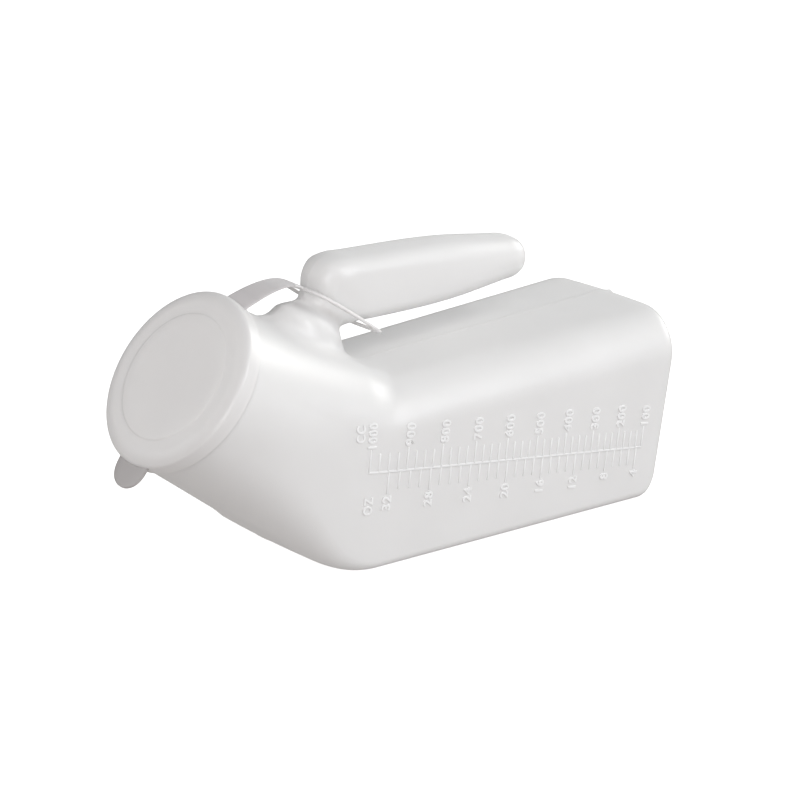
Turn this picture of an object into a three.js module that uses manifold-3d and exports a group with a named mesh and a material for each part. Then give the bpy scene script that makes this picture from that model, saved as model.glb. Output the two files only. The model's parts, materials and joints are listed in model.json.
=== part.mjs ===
// Urine bottle: a blow-moulded polyethylene bottle with a hollow handle, and a one-piece snap lid
// with a pull tab, a flexible strap and a loop that hangs round the stem of the handle.
// Millimetres, +Z up. The bottle lies on its flat side with the mouth towards -X.
// Outlines are set out in the XZ mid plane: x = 0 is the lower corner where neck and tank meet.

import * as THREE from 'three';
import { mergeVertices } from 'three/addons/utils/BufferGeometryUtils.js';
import Module from 'manifold-3d';

const wasm = await Module();
wasm.setup();

// ---------------------------------------------------------------- driving dimensions

const WALL = 1.2;
const GAP = 0.3;

const TANK_LENGTH = 175;
const BASE = { width: 88.3, height: 82.2, lean: 6.8 };
const CREASE = { width: 78, height: 74.2, lean: 25.3 };
const TOP_CORNER = 20;
const BOTTOM_CORNER = 9;
const TOP_CROWN = 0.8;
const BASE_EDGE = 15;
const BASE_PUSH_UP = { ring: 5, slope: 4, depth: 2 };

const MOUTH = { x: -49.9, z: 80.5, tilt: 35 };
const NECK_RADIUS = 35.4;
const NECK_STRAIGHT = 10;
// How much of the neck and of the tank the rounding between them takes, at either end of the loft.
const NECK_BLEND = 0.12;
const CREASE_BLEND = { before: 0.2, after: 0.1 };
// The grip starts this fraction of the way from the stem's top section to the bend.
const GRIP_START = 0.012;
const NOSE = { length: 12.4, radius: 9 };
const HANDLE_SIDES = 24;

const RIM = { inside: 34.1, bead: 35.6, foot: 0.2, lip: 3.4, round: 0.5 };

const LID = { inside: 35.9, outside: 36.7, back: -1.3, face: 4.9, ceiling: 3.8, edge: 1 };
const LID_BEAD = { height: 0.2, width: 0.9, at: 0.5 };
const LID_DISC = { radius: 26, step: 0.3 };
const TAB = { thickness: 1.3, halfAngle: 14.6, along: 2.5, tip: 46.3, bluntness: 0.75 };

const STRAP = {
  rootWidth: 12,
  loopWidth: 9.5,
  thickness: 1.3,
  root: 37.4,
  back: -0.2,
  turn: 10,
  rise: 20,
  rootPull: 17,
  loopPull: 5,
};
const LOOP = { x: 3.5, z: 110.4, slope: -33, reach: 42, outside: 17, arm: 3.5, corner: 0.5 };

const SCALE = { start: 22.2, rib: 0.8, height: 0.4, major: 9, minor: 7.3, fullCc: 1000 };
// Distance of a level from the base: millimetres at 0, per litre, and more per litre squared.
const LEVEL = { empty: 5.8, rate: 136.9, spread: 24.7 };
const OUNCE = 29.57;

// ---------------------------------------------------------------- small tools

const radians = THREE.MathUtils.degToRad;
const lerp = THREE.MathUtils.lerp;

// Blends two sets of named numbers.
function mix(a, b, t) {
  return Object.fromEntries(Object.keys(a).map((key) => [key, lerp(a[key], b[key], t)]));
}

// Rounds the corner a-b-c into a quadratic curve, sampled at the given fractions.
function roundCorner(a, b, c, fractions) {
  return fractions.map((t) => mix(mix(a, b, t), mix(b, c, t), t));
}

// Joins rings of points into one closed surface: both ends are capped, or the last ring meets the first.
function skin(rings, wraps = false) {
  const count = rings[0].length;
  const points = rings.flat();
  const triangles = [];
  const quad = (a, b, c, d) => triangles.push(a, b, c, a, c, d);
  const spans = wraps ? rings.length : rings.length - 1;
  for (let row = 0; row < spans; row += 1) {
    const next = (row + 1) % rings.length;
    for (let i = 0; i < count; i += 1) {
      const j = (i + 1) % count;
      quad(row * count + i, row * count + j, next * count + j, next * count + i);
    }
  }
  if (!wraps) {
    const last = (rings.length - 1) * count;
    for (let i = 1; i < count - 1; i += 1) {
      triangles.push(0, i + 1, i);
      triangles.push(last, last + i, last + i + 1);
    }
  }
  return outward(points, triangles);
}

// Makes a geometry, turning its triangles round if they face inwards.
function outward(points, triangles) {
  let volume = 0;
  for (let i = 0; i < triangles.length; i += 3) {
    const [a, b, c] = triangles.slice(i, i + 3).map((k) => points[k]);
    volume += a.dot(new THREE.Vector3().crossVectors(b, c));
  }
  const geometry = new THREE.BufferGeometry().setFromPoints(points);
  geometry.setIndex(volume < 0 ? triangles.toReversed() : triangles);
  return geometry;
}

function toSolid(geometry) {
  const bare = geometry.clone();
  bare.deleteAttribute('normal');
  bare.deleteAttribute('uv');
  const merged = mergeVertices(bare, 1e-4);
  return new wasm.Manifold(new wasm.Mesh({
    numProp: 3,
    vertProperties: new Float32Array(merged.attributes.position.array),
    triVerts: new Uint32Array(merged.index.array),
  }));
}

function fromSolid(solid) {
  const mesh = solid.getMesh();
  const geometry = new THREE.BufferGeometry();
  geometry.setAttribute('position', new THREE.BufferAttribute(mesh.vertProperties, 3));
  geometry.setIndex(new THREE.BufferAttribute(mesh.triVerts, 1));
  return geometry;
}

// ---------------------------------------------------------------- moulded sections

// One section runs from its low point to its high point in the mid plane. Roundness 0 is a rectangle
// with rounded corners and 1 is an ellipse.
function section(lowX, lowZ, highX, highZ, halfWidth, lowRadius, highRadius, crown, roundness) {
  return { lowX, lowZ, highX, highZ, halfWidth, lowRadius, highRadius, crown, roundness };
}

// The closed outline of a section, moved in by an inset.
function ring(shape, inset = 0, count = 32) {
  const low = new THREE.Vector2(shape.lowX, shape.lowZ);
  const up = new THREE.Vector2(shape.highX, shape.highZ).sub(low);
  const halfHeight = up.length() / 2 - inset;
  up.normalize();
  const centre = low.addScaledVector(up, halfHeight + inset);
  const halfWidth = shape.halfWidth - inset;
  const points = [];
  for (let i = 0; i < count; i += 1) {
    const angle = (2 * Math.PI * i) / count;
    const sideways = Math.cos(angle);
    const rise = Math.sin(angle);
    const turn = Math.atan2(Math.abs(rise), Math.abs(sideways)) / (Math.PI / 2);
    const wanted = (rise > 0 ? shape.highRadius : shape.lowRadius) - inset;
    const radius = THREE.MathUtils.clamp(wanted, 0.5, Math.min(halfWidth, halfHeight) - 0.2);
    let [y, v] = cornerPoint(turn, halfWidth, halfHeight, radius);
    y = lerp(y, halfWidth * Math.abs(sideways), shape.roundness);
    v = lerp(v, halfHeight * Math.abs(rise), shape.roundness);
    if (rise > 0) {
      v -= shape.crown * (1 - (1 - (y / halfWidth) ** 2) ** 2) * (v / halfHeight);
    }
    y *= Math.abs(sideways) < 1e-9 ? 0 : Math.sign(sideways);
    v *= Math.sign(rise);
    points.push(new THREE.Vector3(centre.x + up.x * v, y, centre.y + up.y * v));
  }
  return points;
}

// A quarter of a rounded rectangle: straight side, corner arc, straight top, as turn runs from 0 to 1.
function cornerPoint(turn, halfWidth, halfHeight, radius) {
  if (turn < 0.25) return [halfWidth, (halfHeight - radius) * turn * 4];
  if (turn > 0.75) return [(halfWidth - radius) * (1 - turn) * 4, halfHeight];
  const angle = (turn - 0.25) * Math.PI;
  return [halfWidth - radius + radius * Math.cos(angle), halfHeight - radius + radius * Math.sin(angle)];
}

// ---------------------------------------------------------------- bottle

const mouthCentre = new THREE.Vector3(MOUTH.x, 0, MOUTH.z);
const mouthAxis = new THREE.Vector3(-Math.cos(radians(MOUTH.tilt)), 0, Math.sin(radians(MOUTH.tilt)));
const mouthUp = new THREE.Vector3(Math.sin(radians(MOUTH.tilt)), 0, Math.cos(radians(MOUTH.tilt)));

// The point at a distance out from the mouth's axis and along it.
function atMouth(radius, along) {
  return mouthCentre.clone().addScaledVector(mouthUp, radius).addScaledVector(mouthAxis, along);
}

function mouthSection(along) {
  const low = atMouth(-NECK_RADIUS, along);
  const high = atMouth(NECK_RADIUS, along);
  return section(low.x, low.z, high.x, high.z, NECK_RADIUS, NECK_RADIUS, NECK_RADIUS, 0, 1);
}

function tankSection(x, { width, height, lean }) {
  const shift = height * Math.tan(radians(lean));
  return section(x, 0, x + shift, height, width / 2, BOTTOM_CORNER, TOP_CORNER, TOP_CROWN, 0);
}

const creaseSection = tankSection(0, CREASE);
const baseSection = tankSection(TANK_LENGTH, BASE);

// Rings from the mouth to the base, all moved in by the inset.
function bottleRings(inset, mouthAt) {
  const neckEnd = mouthSection(mouthAt - NECK_STRAIGHT);
  const mouth = mouthSection(mouthAt);
  const shapes = [mouth];
  const neckAfter = mix(neckEnd, creaseSection, NECK_BLEND);
  shapes.push(...roundCorner(mix(neckEnd, mouth, 0.5), neckEnd, neckAfter, [0, 0.5, 1]));
  shapes.push(mix(neckEnd, creaseSection, 0.35));
  shapes.push(mix(neckEnd, creaseSection, 0.6));
  const before = mix(creaseSection, neckEnd, CREASE_BLEND.before);
  const after = mix(creaseSection, baseSection, CREASE_BLEND.after);
  shapes.push(...roundCorner(before, creaseSection, after, [0, 0.25, 0.5, 0.75, 1]));
  const rings = shapes.map((shape) => ring(shape, inset));
  const edge = BASE_EDGE - inset;
  for (const degrees of [0, 24, 46, 68, 90]) {
    const back = inset + edge * (1 - Math.sin(radians(degrees)));
    const shape = mix(creaseSection, baseSection, 1 - back / TANK_LENGTH);
    rings.push(ring(shape, inset + edge * (1 - Math.cos(radians(degrees)))));
  }
  const pushUp = BASE_EDGE + BASE_PUSH_UP.ring + BASE_PUSH_UP.slope;
  const floor = mix(creaseSection, baseSection, 1 - (inset + BASE_PUSH_UP.depth) / TANK_LENGTH);
  rings.push(ring(mix(creaseSection, baseSection, 1 - inset / TANK_LENGTH), BASE_EDGE + BASE_PUSH_UP.ring));
  rings.push(ring(floor, pushUp));
  return rings;
}

function bottleShell() {
  const inner = bottleRings(WALL, RIM.foot - GAP);
  return skin([...inner.toReversed(), ...bottleRings(0, RIM.foot - GAP)]);
}

// ---------------------------------------------------------------- handle

// The stem rises from the neck and bends into the grip. Each section runs from the underside of the
// bend to its back; the first stands inside the bottle.
const handleSections = {
  root: section(27, 66, -11, 86, 17, 12, 12, 0, 0.8),
  foot: section(27.5, 75, -8.5, 97.5, 15, 11, 11, 0, 0.8),
  shoulder: section(25.5, 80, -2.5, 103, 12.5, 10, 10, 0, 0.8),
  neck: section(24, 84.5, 6.5, 104, 9.6, 8, 8, 0, 0.7),
  waist: section(22.8, 89.5, 9, 107.3, 9.3, 8, 8, 0, 0.6),
  bend: section(30, 91.6, 10.5, 114, 10.6, 8, 8, 0, 0.4),
  knuckle: section(38, 92, 15, 118.3, 11.8, 8, 8, 0, 0.3),
  palm: section(50, 92.2, 30, 119.8, 12, 8, 8, 0, 0.25),
  fingers: section(84, 93.8, 80, 118.9, 12, 8, 8, 0, 0.25),
  tip: section(111, 96.6, 109, 115.9, 10.5, 8, 8, 0, 0.4),
};

// Rings from the top of the stem to the rounded free end, all moved in by the inset.
function gripRings(inset) {
  const h = handleSections;
  const start = mix(h.waist, h.bend, GRIP_START);
  const shapes = [start, mix(start, h.bend, 0.5), h.bend, h.knuckle, h.palm, h.fingers, h.tip];
  const rings = shapes.map((shape) => ring(shape, inset, HANDLE_SIDES));
  for (const degrees of [30, 55, 75]) {
    const forward = (NOSE.length - inset) * Math.sin(radians(degrees));
    const shrink = (NOSE.radius - inset) * (1 - Math.cos(radians(degrees)));
    const nose = { ...h.tip, lowX: h.tip.lowX + forward, highX: h.tip.highX + forward };
    rings.push(ring(nose, inset + shrink, HANDLE_SIDES));
  }
  return rings;
}

function handleGrip() {
  return skin([...gripRings(WALL).toReversed(), ...gripRings(0)]);
}

function stemShapes() {
  const h = handleSections;
  return [h.root, h.foot, h.shoulder, h.neck, h.waist];
}

function handleStem() {
  return skin(stemShapes().map((shape) => ring(shape, 0, HANDLE_SIDES)));
}

// The passage through the stem, running past both its ends.
function stemBore() {
  const h = handleSections;
  const shapes = [mix(h.root, h.foot, -0.3), ...stemShapes(), mix(h.waist, h.bend, 0.2)];
  return skin(shapes.map((shape) => ring(shape, WALL, HANDLE_SIDES)));
}

// ---------------------------------------------------------------- lid

function lathe(profile, segments = 56) {
  const outline = profile.map(([radius, along]) => new THREE.Vector2(radius, along));
  return new THREE.LatheGeometry(outline, segments);
}

function mouthRim() {
  const middle = (RIM.foot + RIM.lip) / 2;
  const lipRadius = (RIM.inside + RIM.bead) / 2;
  return lathe([
    [RIM.inside, RIM.foot],
    [NECK_RADIUS, RIM.foot],
    [RIM.bead, middle - 2 * RIM.round],
    [RIM.bead, middle],
    [lipRadius + RIM.round, RIM.lip - RIM.round],
    [lipRadius, RIM.lip],
    [RIM.inside, RIM.lip - RIM.round],
    [RIM.inside, RIM.foot],
  ]);
}

function lidCap() {
  const beadStart = LID.back + LID_BEAD.at;
  const profile = [
    [0, LID.ceiling],
    [LID.inside - LID.edge, LID.ceiling],
    [LID.inside, LID.ceiling - LID.edge],
    [LID.inside, beadStart + LID_BEAD.width],
    [LID.inside - LID_BEAD.height, beadStart + LID_BEAD.width / 2],
    [LID.inside - LID_BEAD.height, beadStart],
    [LID.inside, LID.back],
    [LID.outside, LID.back],
  ];
  for (const degrees of [0, 30, 60, 90]) {
    const out = LID.edge * Math.cos(radians(degrees));
    const rise = LID.edge * Math.sin(radians(degrees));
    profile.push([LID.outside - LID.edge + out, LID.face - LID.edge + rise]);
  }
  profile.push([LID_DISC.radius + LID_DISC.step, LID.face]);
  profile.push([LID_DISC.radius, LID.face + LID_DISC.step]);
  profile.push([0, LID.face + LID_DISC.step]);
  return lathe(profile);
}

// The tongue under the lid: it stands straight out from the middle of the skirt.
function pullTab() {
  const root = LID.outside + GAP;
  const half = radians(TAB.halfAngle);
  const halfWidth = root * Math.sin(half);
  const rootHeight = root * Math.cos(half);
  const shape = new THREE.Shape();
  shape.absarc(0, 0, root, -Math.PI / 2 - half, -Math.PI / 2 + half, false);
  const steps = 14;
  for (let i = 1; i < steps; i += 1) {
    const angle = (Math.PI * i) / steps;
    const drop = (TAB.tip - rootHeight) * Math.sin(angle) ** TAB.bluntness;
    shape.lineTo(halfWidth * Math.cos(angle), -rootHeight - drop);
  }
  const geometry = new THREE.ExtrudeGeometry(shape, {
    depth: TAB.thickness,
    bevelEnabled: false,
    curveSegments: 8,
  });
  return geometry.translate(0, 0, TAB.along - TAB.thickness / 2);
}

// ---------------------------------------------------------------- strap and loop

const strapTurn = radians(STRAP.turn);
const strapStart = atMouth(STRAP.root * Math.cos(strapTurn), STRAP.back);
strapStart.y = -STRAP.root * Math.sin(strapTurn);
const strapRise = new THREE.Vector3(Math.cos(radians(STRAP.rise)), 0, Math.sin(radians(STRAP.rise)));
const loopDirection = new THREE.Vector3(Math.cos(radians(LOOP.slope)), 0, Math.sin(radians(LOOP.slope)));
const strapEnd = new THREE.Vector3(LOOP.x, 0, LOOP.z);
const strapCurve = new THREE.CubicBezierCurve3(
  strapStart,
  strapStart.clone().addScaledVector(strapRise, STRAP.rootPull),
  strapEnd.clone().addScaledVector(loopDirection, -STRAP.loopPull),
  strapEnd,
);
const STRAP_CUTS = [0, 0.3, 0.62, 1];

// A flat band along the strap's curve between two fractions of its length, narrower towards the loop.
function strapLink(from, to) {
  const clear = GAP / 2 / strapCurve.getLength();
  const steps = 5;
  const rings = [];
  for (let i = 0; i <= steps; i += 1) {
    const t = lerp(from + clear, to - clear, i / steps);
    const point = strapCurve.getPointAt(t);
    const tangent = strapCurve.getTangentAt(t).setY(0).normalize();
    const normal = new THREE.Vector3(-tangent.z, 0, tangent.x).multiplyScalar(STRAP.thickness / 2);
    const side = new THREE.Vector3(0, lerp(STRAP.rootWidth, STRAP.loopWidth, t) / 2, 0);
    rings.push([
      point.clone().add(side).add(normal),
      point.clone().sub(side).add(normal),
      point.clone().sub(side).sub(normal),
      point.clone().add(side).sub(normal),
    ]);
  }
  return skin(rings);
}

// A power that keeps the sign, which turns a circle's outline into a rounded rectangle's.
const squared = (value, power) => Math.abs(value) ** power * Math.sign(value);

// The loop lies in its own plane: along the loop direction and across it.
function strapLoop() {
  const count = 40;
  const outer = [];
  const inner = [];
  const middle = LOOP.reach / 2;
  for (let i = 0; i < count; i += 1) {
    const angle = (2 * Math.PI * i) / count;
    const along = -squared(Math.cos(angle), LOOP.corner);
    const across = squared(Math.sin(angle), LOOP.corner);
    outer.push([middle * (1 + along) + GAP, LOOP.outside * across]);
    inner.push([middle + (middle - LOOP.arm) * along + GAP, (LOOP.outside - LOOP.arm) * across]);
  }
  const up = new THREE.Vector3(-loopDirection.z, 0, loopDirection.x);
  const place = (outline, height) => outline.map(([p, y]) => strapEnd.clone()
    .addScaledVector(loopDirection, p).addScaledVector(up, height).setY(y));
  const half = STRAP.thickness / 2;
  return skin([place(outer, -half), place(outer, half), place(inner, half), place(inner, -half)], true);
}

// ---------------------------------------------------------------- volume scale

// How far from the base the level stands when the upright bottle holds a volume in cubic centimetres.
// The levels spread as the tank narrows towards its neck.
function levelAt(cubicCentimetres) {
  const litres = cubicCentimetres / 1000;
  return LEVEL.empty + litres * (LEVEL.rate + litres * LEVEL.spread);
}

// A comb outline: marks above the spine for cubic centimetres and below it for ounces.
function volumeScale() {
  const half = SCALE.rib / 2;
  const shape = new THREE.Shape();
  const end = levelAt(SCALE.fullCc) + half;
  const start = levelAt(100) - half;
  const tooth = (at, length, sign) => {
    shape.lineTo(at - sign * half, sign * half);
    shape.lineTo(at - sign * half, sign * length);
    shape.lineTo(at + sign * half, sign * length);
    shape.lineTo(at + sign * half, sign * half);
  };
  shape.moveTo(start, half);
  for (let cc = 100; cc <= SCALE.fullCc; cc += 25) {
    tooth(levelAt(cc), cc % 100 === 0 ? SCALE.major : SCALE.minor, 1);
  }
  shape.lineTo(end, -half);
  for (let ounces = 32; ounces >= 4; ounces -= 1) {
    tooth(levelAt(ounces * OUNCE), ounces % 4 === 0 ? SCALE.major : SCALE.minor, -1);
  }
  shape.lineTo(start, -half);
  return new THREE.ExtrudeGeometry(shape, { depth: SCALE.height, bevelEnabled: false });
}

// ---------------------------------------------------------------- materials

function plastic(name, color, roughness) {
  return new THREE.MeshStandardMaterial({ name, color, roughness, metalness: 0 });
}

const bottlePlastic = () => plastic('milky_bottle_plastic', 0xe6e6e4, 0.42);
const lidPlastic = () => plastic('milky_lid_plastic', 0xdcd9d8, 0.38);

function piece(name, geometry, material) {
  const mesh = new THREE.Mesh(geometry, material);
  mesh.name = name;
  return mesh;
}

// ---------------------------------------------------------------- assembly

const bottle = new THREE.Group();
const bore = toSolid(stemBore());
const clearOfShell = toSolid(skin(bottleRings(-GAP, RIM.foot - GAP)));
const shell = toSolid(bottleShell()).subtract(bore);
const stem = toSolid(handleStem()).subtract(bore).subtract(clearOfShell);
bottle.add(piece('bottle_shell', fromSolid(shell), bottlePlastic()));
bottle.add(piece('handle_stem', fromSolid(stem), bottlePlastic()));
bottle.add(piece('handle_grip', handleGrip(), bottlePlastic()));

// Everything round the mouth is drawn about +Z and turned onto the mouth's axis.
const mouth = new THREE.Group();
mouth.position.copy(mouthCentre);
mouth.quaternion.setFromRotationMatrix(
  new THREE.Matrix4().makeBasis(mouthUp.clone().cross(mouthAxis), mouthUp, mouthAxis),
);
const turned = (geometry) => geometry.rotateX(Math.PI / 2);
mouth.add(piece('mouth_rim', turned(mouthRim()), bottlePlastic()));
mouth.add(piece('lid_cap', turned(lidCap()), lidPlastic()));
mouth.add(piece('lid_pull_tab', pullTab(), lidPlastic()));
bottle.add(mouth);

for (let i = 1; i < STRAP_CUTS.length; i += 1) {
  const link = strapLink(STRAP_CUTS[i - 1], STRAP_CUTS[i]);
  bottle.add(piece(`strap_link_${i}`, link, lidPlastic()));
}
bottle.add(piece('strap_loop', strapLoop(), lidPlastic()));

// The scale stands off the near side wall, square to the base: its own +X runs from the base towards
// the mouth, its +Y up the side and its +Z into the wall.
const scale = piece('volume_scale', volumeScale(), bottlePlastic());
const lean = radians(BASE.lean);
const taper = (BASE.width - CREASE.width) / 2 / TANK_LENGTH;
const along = new THREE.Vector3(-Math.cos(lean), taper, Math.sin(lean)).normalize();
const inward = new THREE.Vector3(taper, 1, 0).normalize();
const upSide = inward.clone().cross(along).normalize();
const foot = new THREE.Vector3(
  TANK_LENGTH + SCALE.start * Math.tan(lean), -BASE.width / 2, SCALE.start,
);
scale.position.copy(foot).addScaledVector(inward, -GAP - SCALE.height);
scale.quaternion.setFromRotationMatrix(
  new THREE.Matrix4().makeBasis(along, upSide, along.clone().cross(upSide)),
);
bottle.add(scale);

// The origin is the middle of the underside.
const extent = new THREE.Box3().setFromObject(bottle, true);
bottle.position.set(-(extent.min.x + extent.max.x) / 2, 0, -extent.min.z);

export default bottle;
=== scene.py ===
"""The looks of the urine bottle: a milky blow-moulded bottle with a hollow handle, and its snap lid.

Shapes are set out in millimetres in the mid plane of the bottle, as the part itself is: x = 0 is the
lower corner where neck and tank meet, z = 0 is the side that it lies on, and y = 0 is the mould's
parting plane. placed() turns them into metres in the part's frame.
"""

import json
import math

import bpy
import numpy as np
from mathutils import Matrix, Vector
from mathutils.bvhtree import BVHTree
from mathutils.kdtree import KDTree


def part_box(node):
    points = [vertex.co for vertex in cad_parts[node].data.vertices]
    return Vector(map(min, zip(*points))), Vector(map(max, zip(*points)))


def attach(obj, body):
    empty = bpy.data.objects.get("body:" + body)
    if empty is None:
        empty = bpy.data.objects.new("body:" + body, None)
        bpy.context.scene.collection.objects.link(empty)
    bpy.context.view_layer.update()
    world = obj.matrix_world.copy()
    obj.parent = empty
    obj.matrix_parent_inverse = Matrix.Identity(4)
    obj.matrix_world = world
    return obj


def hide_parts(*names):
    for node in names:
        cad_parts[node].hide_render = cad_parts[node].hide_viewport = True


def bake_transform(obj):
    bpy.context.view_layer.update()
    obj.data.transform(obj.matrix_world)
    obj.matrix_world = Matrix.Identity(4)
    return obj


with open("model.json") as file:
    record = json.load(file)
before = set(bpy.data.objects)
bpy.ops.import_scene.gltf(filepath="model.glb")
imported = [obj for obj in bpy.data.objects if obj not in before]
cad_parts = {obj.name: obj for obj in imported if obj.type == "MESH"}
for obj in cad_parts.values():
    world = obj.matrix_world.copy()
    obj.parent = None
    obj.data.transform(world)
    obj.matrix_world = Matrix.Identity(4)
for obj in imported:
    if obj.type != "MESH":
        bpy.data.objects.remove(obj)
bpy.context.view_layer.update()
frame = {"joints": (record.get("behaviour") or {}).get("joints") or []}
MM = 0.001

# ---------------------------------------------------------------- driving dimensions, in millimetres

WALL = 1.2
# Edges stay smooth up to this angle in degrees.
SMOOTH_ANGLE = 38
# Corners of a section keep at least this radius, and stop this far short of its middle.
LEAST_CORNER = 0.5
CORNER_CLEARANCE = 0.2

TANK_LENGTH = 175
BASE = {"width": 88.3, "height": 82.2, "lean": 6.8}
CREASE = {"width": 78, "height": 74.2, "lean": 25.3}
# Shares of the neck's straight part where its sections start and where its rounded end begins, and the
# share of the way on to the crease where that end stops.
NECK_START = -0.05
NECK_TURN = 0.5
NECK_BLEND = 0.3
# The crease is rounded over this share of the way from the neck, and of the tank's length.
CREASE_BEFORE = 0.2
CREASE_AFTER = 0.1
# How tightly each number of a section turns at the crease: the high point turns in a crisp line.
CREASE_TURN = np.array([1, 1, 5, 5, 1, 1, 1, 1, 1])
# How much the corners of the sections gain in radius for each millimetre that the base's edge turns in.
LOW_CORNER_GAIN = 1.4
HIGH_CORNER_GAIN = 0.9
TOP_CORNER = 20
BOTTOM_CORNER = 4.5
TOP_CROWN = 0.8
BASE_EDGE = 15
PUSH_UP_START = 5
PUSH_UP_SLOPE = 4
PUSH_UP_DEPTH = 2

MOUTH_X = -49.9
MOUTH_Z = 80.5
MOUTH_TILT = 35
NECK_RADIUS = 35.4
NECK_STRAIGHT = 6
MOUTH_INSIDE = 34.2
LIP = 3.4
BEAD = 35.55
# The lip's edge: how far out from the mouth's inside, and back from the lip's front.
LIP_EDGE = [(0.4, 0), (0.8, 0.12), (1.1, 0.5)]
# The snap bead behind it: how far in from its widest, and back from the lip's front.
BEAD_EDGE = [(0.05, 1.1), (0, 1.6), (0.05, 2.1), (0.12, 2.6)]
LIP_LENGTH = 3.1
# The bore through the mouth, from this far in front of the lip to this far in front of the neck's top.
BORE_BEYOND = 5
BORE_END = 0.5

SEAM_HEIGHT = 0.18
STEM_SEAM_HEIGHT = 0.06
SEAM_HALF_ANGLE = 0.5
# The nub on the seam at the base's edge: its height, its reach to the sides, and its place and its spread
# round the turn of the edge, in degrees.
NUB_HEIGHT = 1.1
NUB_REACH = 1.3
NUB_TURN = 32
NUB_SPREAD = 8

NOSE_LENGTH = 12.4
NOSE_RADIUS = 9
NOSE_TURN = 84
# The join of stem and neck: from x in front of the stem to x behind it, and how far it is rounded there.
JOIN_FRONT = -8
JOIN_BACK = 20
JOIN_REACH = [10, 1.8]
# Points that are this close to both skins are on their join. The points near it are smoothed this often,
# by this share of the way to the middle of their neighbours.
JOIN_TOLERANCE = 0.02
JOIN_ROUNDS = 60
JOIN_STEP = 0.5

LID_INSIDE = 35.6
LID_OUTSIDE = 36.9
LID_FACE_RADIUS = 36.7
LID_FACE = 5.5
LID_CEILING = 3.8
LID_BACK = -2.2
LID_STEPS = 144
# Radii of the points on the ceiling, its corner, and the points down the inside of the skirt.
CEILING_RADII = [0.6, 12, 24, 31]
CEILING_CORNER = 0.6
SKIRT_INSIDE = [2, 0.5, LID_BACK + 0.4]
SKIRT_RIM = 0.25
# The skirt narrows towards the face: how far in from its outside, and how far forward.
SKIRT_DRAFT = [(0.05, 0), (0.12, 1.4)]
# The face turns into the skirt over this much of its radius and of the skirt.
LID_EDGE_OUT = 6
LID_EDGE_DOWN = 2.6
DISC_RADIUS = 26
DISC_STEP = 0.3
# The step up to the disc: how far out from its radius, and up from the face.
DISC_EDGE = [(2, 0), (0.7, 0), (0.4, 0.05), (0.1, DISC_STEP - 0.05), (-0.25, DISC_STEP)]
DISC_RADII = [22, 16, 10, 5, 0.6]
DISC_DISH = 0.2

TAB_HALF_WIDTH = 9.35
TAB_TIP = 46.3
TAB_ALONG = 2.5
TAB_THICKNESS = 1.3
TAB_SUNK = 0.3
# Where the tab narrows to its tip, its thickness is at most this share of its width.
TAB_THINNING = 0.9
# The power of the tab's outline, where 2 would be an ellipse, and the share of its length that is built:
# the last ring still has some width.
TAB_POWER = 2.74
TAB_BUILT = 0.9985
# The rings turn from the lid's curve to straight ones over this share of the tab.
TAB_STRAIGHT = 0.3

# Powers that flatten a band's circle: across its width, and through its thickness.
BAND_POINTS = 24
BAND_FLAT = 0.35
BAND_ROUND = 0.7

STRAP_ROOT_WIDTH = 12
STRAP_LOOP_WIDTH = 9.5
STRAP_THICKNESS = 1.3
# The strap's root on the lid: its radius, its place along the mouth's axis, and in degrees how far round
# the lid it sits and how steeply it rises.
STRAP_ROOT = 37.4
STRAP_BACK = -0.2
STRAP_TURN = 10
STRAP_RISE = 20
# How far the strap's curve is pulled along its direction at the lid, and at the loop.
ROOT_PULL = 17
LOOP_PULL = 5

# The loop: where the strap ends at it, its slope in degrees, its length, half its width, the width of its
# arm, the power that squares its outline, and its gap to the strap's end.
LOOP_X = 3.5
LOOP_Z = 110.4
LOOP_SLOPE = -33
LOOP_REACH = 42
LOOP_OUTSIDE = 17
LOOP_ARM = 3.5
LOOP_CORNER = 0.5
LOOP_GAP = 0.3
# The strap's root runs this part of its length into the lid's skirt, and its end this far into the loop.
STRAP_SUNK = 0.04
STRAP_INTO_LOOP = 0.16

# The scale's height up the side at the base, and the lengths of its long and short marks.
SCALE_START = 22.2
SCALE_MAJOR = 9
SCALE_MINOR = 7.3
SCALE_HEIGHT = 0.35
SPINE_WIDTH = 1.0
SPINE_RISE = 1.1
MARK_WIDTH = 0.85
MARK_START = 0.3
# A rib's section, in shares of its half width and of its height, and how its rounded ends run out.
RIB_OUTLINE = [(-1, -0.5), (-0.92, 0.35), (-0.62, 0.85), (0, 1), (0.62, 0.85), (0.92, 0.35), (1, -0.5)]
RIB_SPACING = 6
RIB_END = 0.9
RIB_END_WIDTH = 0.45
RIB_END_HEIGHT = 0.3
CC_FULL = 1000
CC_LABEL = 100
CC_STEP = 25
OUNCES_FULL = 32
OUNCES_LABEL = 4
# Distance of a level from the base: millimetres at 0, per litre, and more per litre squared.
LEVEL_EMPTY = 5.8
LEVEL_RATE = 136.9
LEVEL_SPREAD = 24.7
OUNCE = 29.57

DIGIT_HEIGHT = 4.2
# Size of the font for a digit of height 1, and the spacing of its characters.
FONT_SIZE = 1.38
FONT_SPACING = 1.12
# How far the characters stand out, as a share of the scale's height, their edges, and their extra weight.
LETTER_RISE = 0.75
LETTER_EDGE = 0.1
LETTER_WEIGHT = 0.06
LETTER_LIFT = 0.05
NUMBER_GAP = 1
FULL_NARROW = 0.87
UNIT_NARROW = 0.8
# How far past the full mark the units stand, and how much further out than the numbers CC stands.
CC_BEYOND = 6
CC_OUT = 2.6
OZ_BEYOND = -1
# The scale is laid on the side from this far out.
OUTSIDE = -80

# ---------------------------------------------------------------- camera and light, in metres and watts

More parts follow.
